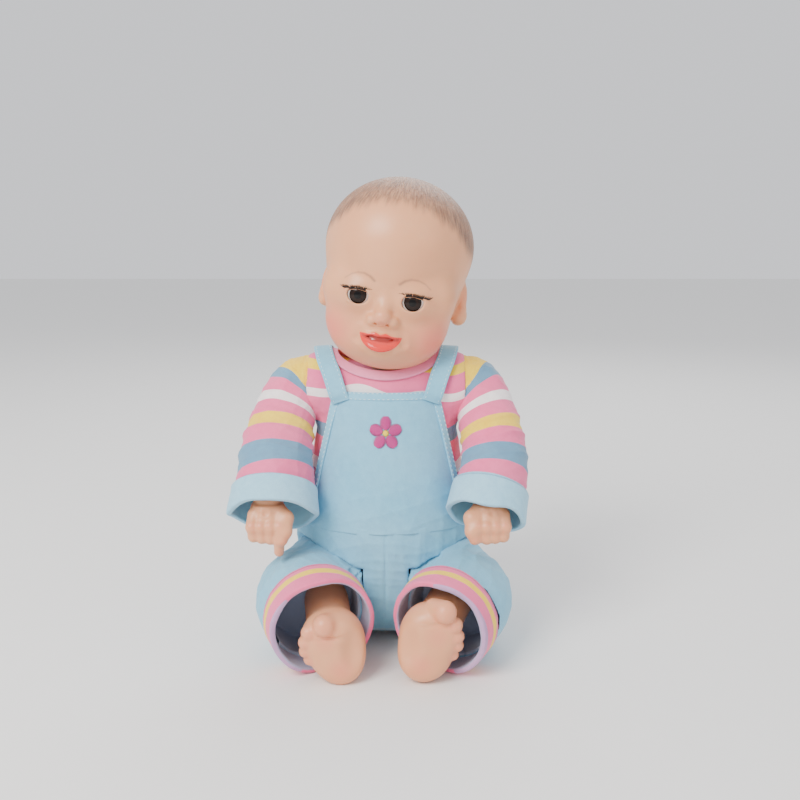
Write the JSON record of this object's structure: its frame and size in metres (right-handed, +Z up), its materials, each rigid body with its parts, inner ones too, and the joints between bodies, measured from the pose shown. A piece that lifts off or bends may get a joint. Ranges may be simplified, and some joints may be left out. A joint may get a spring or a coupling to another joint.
{
  "type": "interactive baby doll",
  "caption": "Seated, dressed baby doll with a turning head, weighted sleep eyes, swinging arms and legs, a press pad in the belly and a sound module in the back.",
  "frame": {"origin": "on the flat of the seat, under the middle of the hips", "axes": "+Z up, the doll faces -Y, its left side is +X"},
  "size_m": [0.2291, 0.1902, 0.366],
  "materials": {
    "vinyl": "satin moulded vinyl",
    "shirt_knit": "striped cotton knit",
    "cuff_knit": "ribbed cotton knit",
    "dungaree_jersey": "soft brushed jersey",
    "dungaree_binding": "stitched binding",
    "turned_cuff": "striped turned-up cuff",
    "motif_thread": "embroidery thread",
    "body_fabric": "stuffed cotton body",
    "button_plastic": "gloss",
    "case_plastic": "fine texture",
    "door_plastic": "fine texture",
    "dark_plastic": "satin",
    "joint_plastic": "satin nylon",
    "steel": "bright",
    "cell_jacket": "gloss sleeve",
    "contact_metal": "bright",
    "board": "solder mask",
    "speaker_paper": "pressed paper",
    "eye_white": "gloss",
    "eye_iris": "deep gloss",
    "lashes": "bristle",
    "lead_sleeve": "pvc sleeve"
  },
  "bodies": {
    "torso": {"body_cloth": "body_fabric", "shirt_body": "shirt_knit", "shirt_collar": "shirt_knit", "dungaree_seat": "dungaree_jersey", "dungaree_bib": "dungaree_jersey", "bib_binding": "dungaree_binding", "bib_flower": "motif_thread", "back_opening_hem": "dungaree_binding", "strap_left": "dungaree_binding", "strap_right": "dungaree_binding", "strap_buttons": "button_plastic", "module_front": "case_plastic", "module_rear": "case_plastic", "batteries": "cell_jacket", "battery_contacts": "contact_metal", "circuit_board": "board", "speaker": "speaker_paper", "case_screws": "steel", "belly_housing": "joint_plastic", "belly_spring": "steel", "belly_lead": "lead_sleeve", "neck_plug": "joint_plastic", "shoulder_washers": "joint_plastic", "hip_shaft": "steel", "hip_caps": "joint_plastic"},
    "battery_door": {"battery_door": "door_plastic", "door_screw": "steel"},
    "power_slider": {"power_slider": "dark_plastic"},
    "belly_pad": {"belly_pad": "joint_plastic"},
    "neck_swivel": {"neck_swivel": "joint_plastic"},
    "neck_cross": {"neck_cross": "joint_plastic"},
    "head": {"head_shell": "vinyl", "head_fork": "joint_plastic", "eye_cases": "joint_plastic"},
    "eye_left": {"eye_globe_left": "eye_white", "eye_iris_left": "eye_iris", "eye_weight_left": "steel", "eyelid_left": "vinyl", "eyelashes_left": "lashes"},
    "arm_left": {"arm_left": "vinyl", "shoulder_stud_left": "joint_plastic", "sleeve_left": "shirt_knit", "sleeve_cuff_left": "cuff_knit"},
    "leg_left": {"leg_left": "vinyl", "hip_hub_left": "joint_plastic", "trouser_leg_left": "dungaree_jersey", "trouser_cuff_left": "turned_cuff"},
    "eye_right": {"eye_globe_right": "eye_white", "eye_iris_right": "eye_iris", "eye_weight_right": "steel", "eyelid_right": "vinyl", "eyelashes_right": "lashes"},
    "arm_right": {"arm_right": "vinyl", "shoulder_stud_right": "joint_plastic", "sleeve_right": "shirt_knit", "sleeve_cuff_right": "cuff_knit"},
    "leg_right": {"leg_right": "vinyl", "hip_hub_right": "joint_plastic", "trouser_leg_right": "dungaree_jersey", "trouser_cuff_right": "turned_cuff"}
  },
  "joints": [
    {"name": "neck_turn", "type": "hinge", "parent": "torso", "child": "neck_swivel", "pos_m": [0, 0.008, 0.205], "axis": [0, 0, 1], "range_deg": [-30, 14]},
    {"name": "head_nod", "type": "hinge", "parent": "neck_swivel", "child": "neck_cross", "pos_m": [0, 0.008, 0.23], "axis": [0.9945, -0.1045, 0], "range_deg": [-14, 0]},
    {"name": "head_tilt", "type": "hinge", "parent": "neck_cross", "child": "head", "pos_m": [0, 0.008, 0.23], "axis": [0.1043, 0.9921, 0.0698], "range_deg": [-16, 0]},
    {"name": "eye_close_left", "type": "hinge", "parent": "head", "child": "eye_left", "pos_m": [0.02145, -0.04604, 0.27119], "axis": [0.9859, -0.0939, -0.1388], "range_deg": [0, 50]},
    {"name": "eye_close_right", "type": "hinge", "parent": "head", "child": "eye_right", "pos_m": [-0.01897, -0.04219, 0.27688], "axis": [0.9859, -0.0939, -0.1388], "range_deg": [0, 50]},
    {"name": "shoulder_swing_left", "type": "hinge", "parent": "torso", "child": "arm_left", "pos_m": [0.072, 0.002, 0.2], "axis": [-1, 0, 0], "range_deg": [0, 80]},
    {"name": "shoulder_swing_right", "type": "hinge", "parent": "torso", "child": "arm_right", "pos_m": [-0.072, 0.002, 0.2], "axis": [-1, 0, 0], "range_deg": [0, 80]},
    {"name": "hip_swing_left", "type": "hinge", "parent": "torso", "child": "leg_left", "pos_m": [0.054, -0.024, 0.0415], "axis": [1, 0, 0], "range_deg": [0, 68]},
    {"name": "hip_swing_right", "type": "hinge", "parent": "torso", "child": "leg_right", "pos_m": [-0.054, -0.024, 0.0415], "axis": [1, 0, 0], "range_deg": [0, 68]},
    {"name": "battery_door_hinge", "type": "hinge", "parent": "torso", "child": "battery_door", "pos_m": [0, 0.0368, 0.0912], "axis": [-1, 0, 0], "range_deg": [0, 85]},
    {"name": "power_slide", "type": "slide", "parent": "torso", "child": "power_slider", "axis": [1, 0, 0], "range_m": [0, 0.004]},
    {"name": "belly_press", "type": "slide", "parent": "torso", "child": "belly_pad", "axis": [0, 1, 0], "range_m": [0, 0.0025], "stiffness_N_per_m": 400, "springref_m": -0.001, "deforming": ["belly_spring"]}
  ],
  "couplings": [
    {"joint": "eye_close_right", "follows": "eye_close_left", "ratio": 1}
  ]
}
